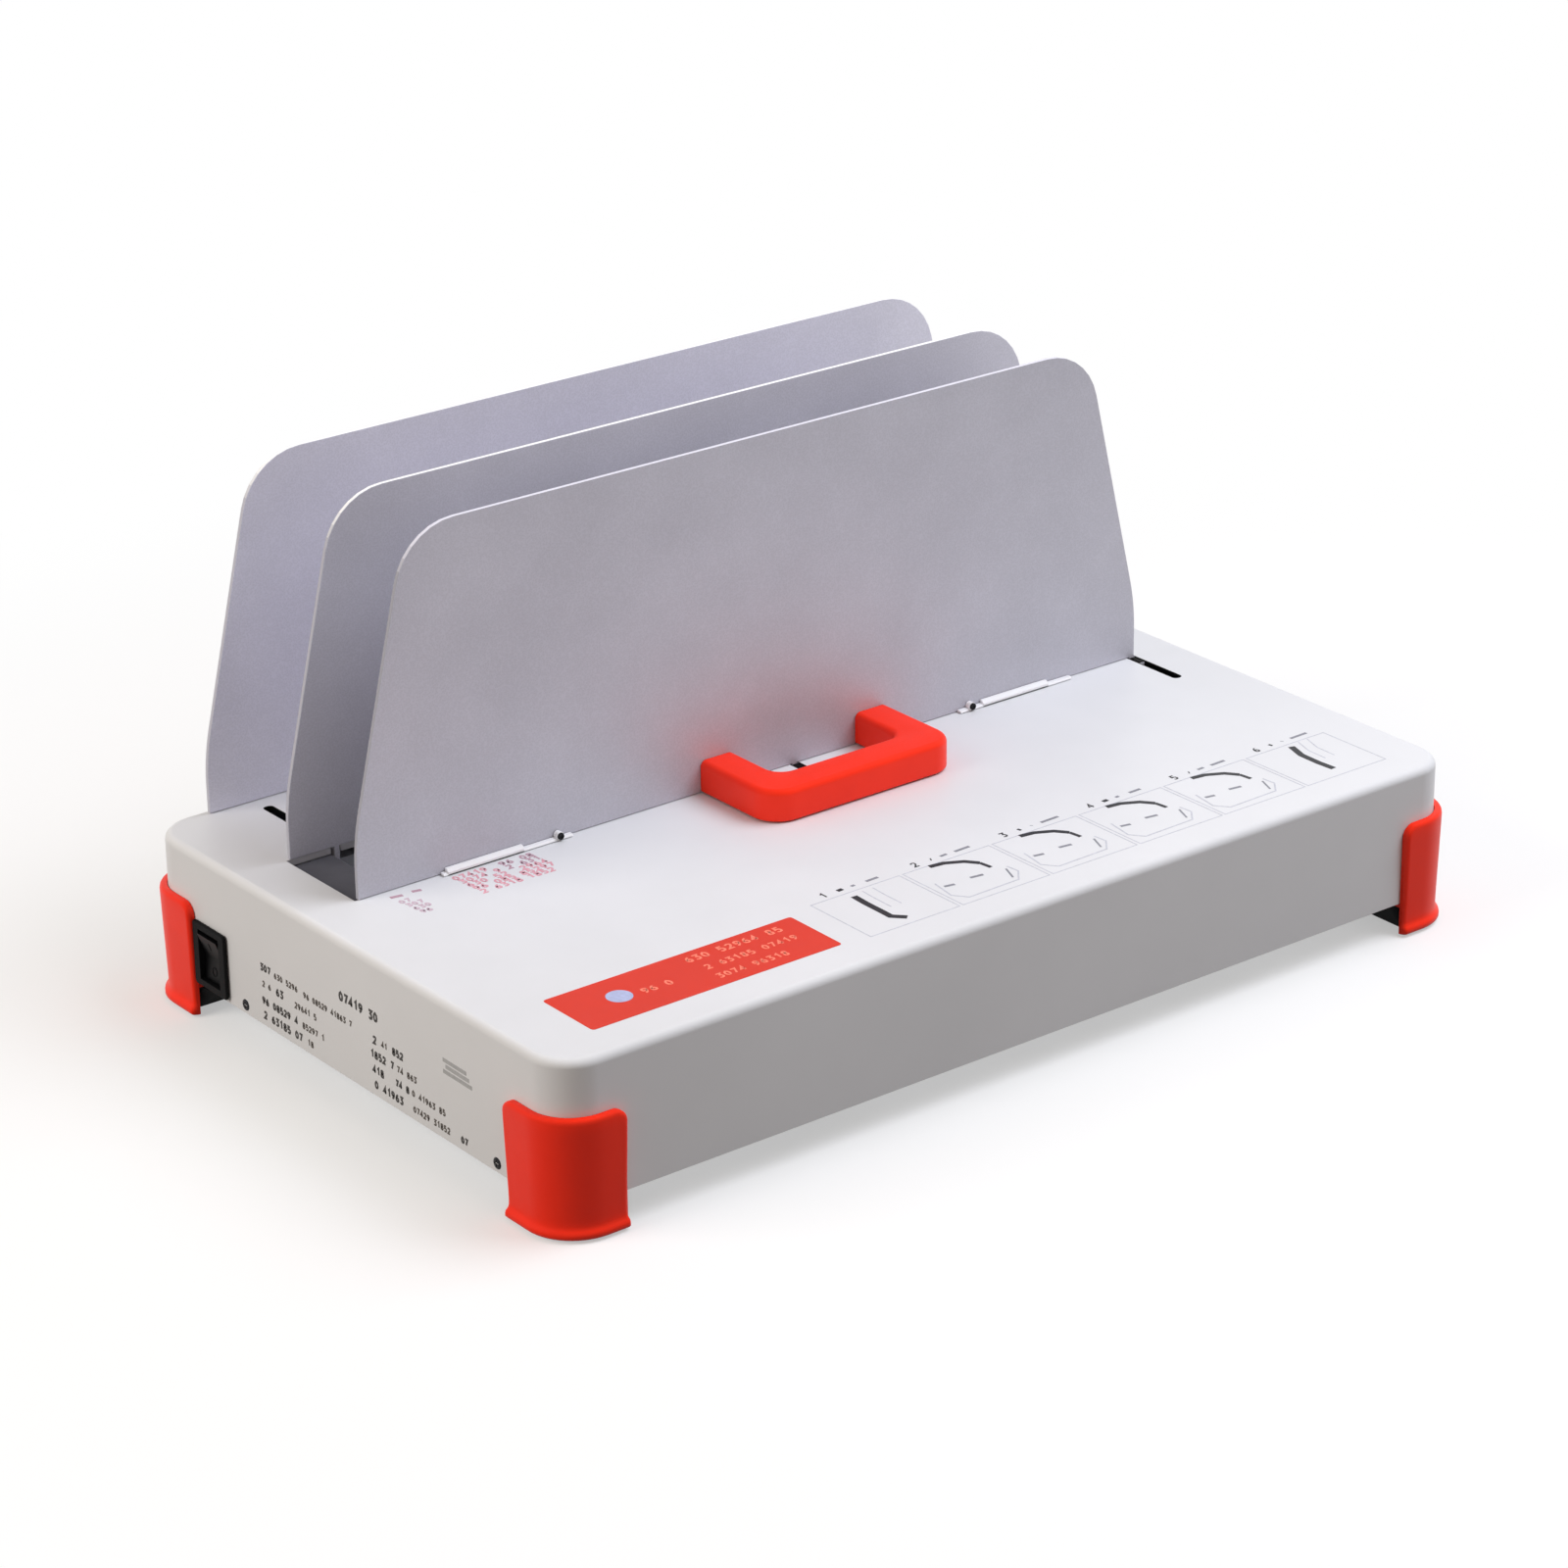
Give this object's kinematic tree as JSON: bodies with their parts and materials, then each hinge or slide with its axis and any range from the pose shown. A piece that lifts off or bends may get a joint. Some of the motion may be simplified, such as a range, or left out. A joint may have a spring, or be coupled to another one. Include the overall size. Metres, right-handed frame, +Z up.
{
  "type": "thermal binding machine",
  "caption": "Low white housing on orange corner guards, with three upright sheet plates: a fixed rear one and two clamp plates over a heated trough that slide together and apart.",
  "frame": {"origin": "on the table, under the centre of the machine's outline", "axes": "+X to the right along the trough, seen from the operator at the front; +Y to the back, across the plates; +Z up"},
  "size_m": [0.4072, 0.2572, 0.193],
  "materials": {
    "housing_white": "satin moulded white plastic with a fine grain",
    "accent_orange": "smooth orange moulded plastic",
    "plate_silver": "silver-grey powder coat on sheet steel",
    "foot_rubber": "matt black rubber",
    "black_plastic": "fine-grained black plastic",
    "glide_nylon": "smooth white nylon",
    "zinc_steel": "bright zinc plate",
    "dark_steel": "blackened steel",
    "ground_steel": "ground and polished steel",
    "aluminium": "mill-finish aluminium",
    "acetal": "natural acetal",
    "insulation": "woven glass-fibre board",
    "silicone": "red-brown silicone",
    "circuit_board": "green solder mask",
    "relay_case": "blue moulded case",
    "terminal_plastic": "green moulded plastic",
    "lead_sleeve": "dark grey sleeve"
  },
  "bodies": {
    "base": {"top_cover": "housing_white", "corner_guard_front_left": "accent_orange", "corner_guard_front_right": "accent_orange", "corner_guard_rear_left": "accent_orange", "corner_guard_rear_right": "accent_orange", "rear_plate": "plate_silver", "rubber_foot_front_left": "foot_rubber", "rubber_foot_front_right": "foot_rubber", "rubber_foot_rear_left": "foot_rubber", "rubber_foot_rear_right": "foot_rubber", "switch_bezel": "black_plastic", "mains_inlet": "black_plastic", "thermostat": "black_plastic", "rod_bracket_front_left": "black_plastic", "rod_bracket_front_right": "black_plastic", "rod_bracket_rear_left": "black_plastic", "rod_bracket_rear_right": "black_plastic", "base_pan": "zinc_steel", "heater_pan": "zinc_steel", "foot_screw_front_left": "zinc_steel", "foot_screw_front_right": "zinc_steel", "foot_screw_rear_left": "zinc_steel", "foot_screw_rear_right": "zinc_steel", "rear_plate_screw_left": "zinc_steel", "rear_plate_screw_right": "zinc_steel", "transformer": "dark_steel", "pinion_post": "ground_steel", "thermal_fuse": "ground_steel", "guide_rod_left": "ground_steel", "guide_rod_right": "ground_steel", "heating_plate": "aluminium", "rack_guide": "acetal", "insulation_pad": "insulation", "heater_mat": "silicone", "control_board": "circuit_board", "power_relay": "relay_case", "terminal_block": "terminal_plastic", "inlet_lead": "lead_sleeve", "switch_lead": "lead_sleeve", "heater_lead": "lead_sleeve", "smoothing_capacitor": "lead_sleeve"},
    "front_clamp": {"front_plate": "plate_silver", "front_carriage": "aluminium", "front_rack": "acetal", "clamp_handle": "accent_orange", "carriage_bush_front_left": "acetal", "carriage_bush_front_right": "acetal", "handle_screw_left": "zinc_steel", "handle_screw_right": "zinc_steel", "plate_glide_left": "glide_nylon", "plate_glide_right": "glide_nylon", "glide_screw_left": "dark_steel", "glide_screw_right": "dark_steel"},
    "middle_clamp": {"middle_plate": "plate_silver", "middle_carriage": "aluminium", "middle_rack": "acetal", "carriage_bush_middle_left": "acetal", "carriage_bush_middle_right": "acetal"},
    "pinion": {"centring_pinion": "acetal"},
    "rocker": {"power_rocker": "black_plastic"}
  },
  "joints": [
    {"name": "clamp_slide", "type": "slide", "parent": "base", "child": "front_clamp", "axis": [0, -1, 0], "range_m": [-0.02, 0.02]},
    {"name": "middle_slide", "type": "slide", "parent": "base", "child": "middle_clamp", "axis": [0, 1, 0], "range_m": [-0.02, 0.02]},
    {"name": "pinion_spin", "type": "hinge", "parent": "base", "child": "pinion", "pos_m": [-0.04, 0.04615, 0.02], "axis": [0, 0, 1], "range_deg": [-76.5, 76.5]},
    {"name": "rocker_tilt", "type": "hinge", "parent": "base", "child": "rocker", "pos_m": [-0.1978, 0.08535, 0.02655], "axis": [0, 1, 0], "range_deg": [0, 16]}
  ],
  "couplings": [
    {"joint": "middle_slide", "follows": "clamp_slide", "ratio": 1},
    {"joint": "pinion_spin", "follows": "clamp_slide", "rad_per_m": -66.667}
  ]
}
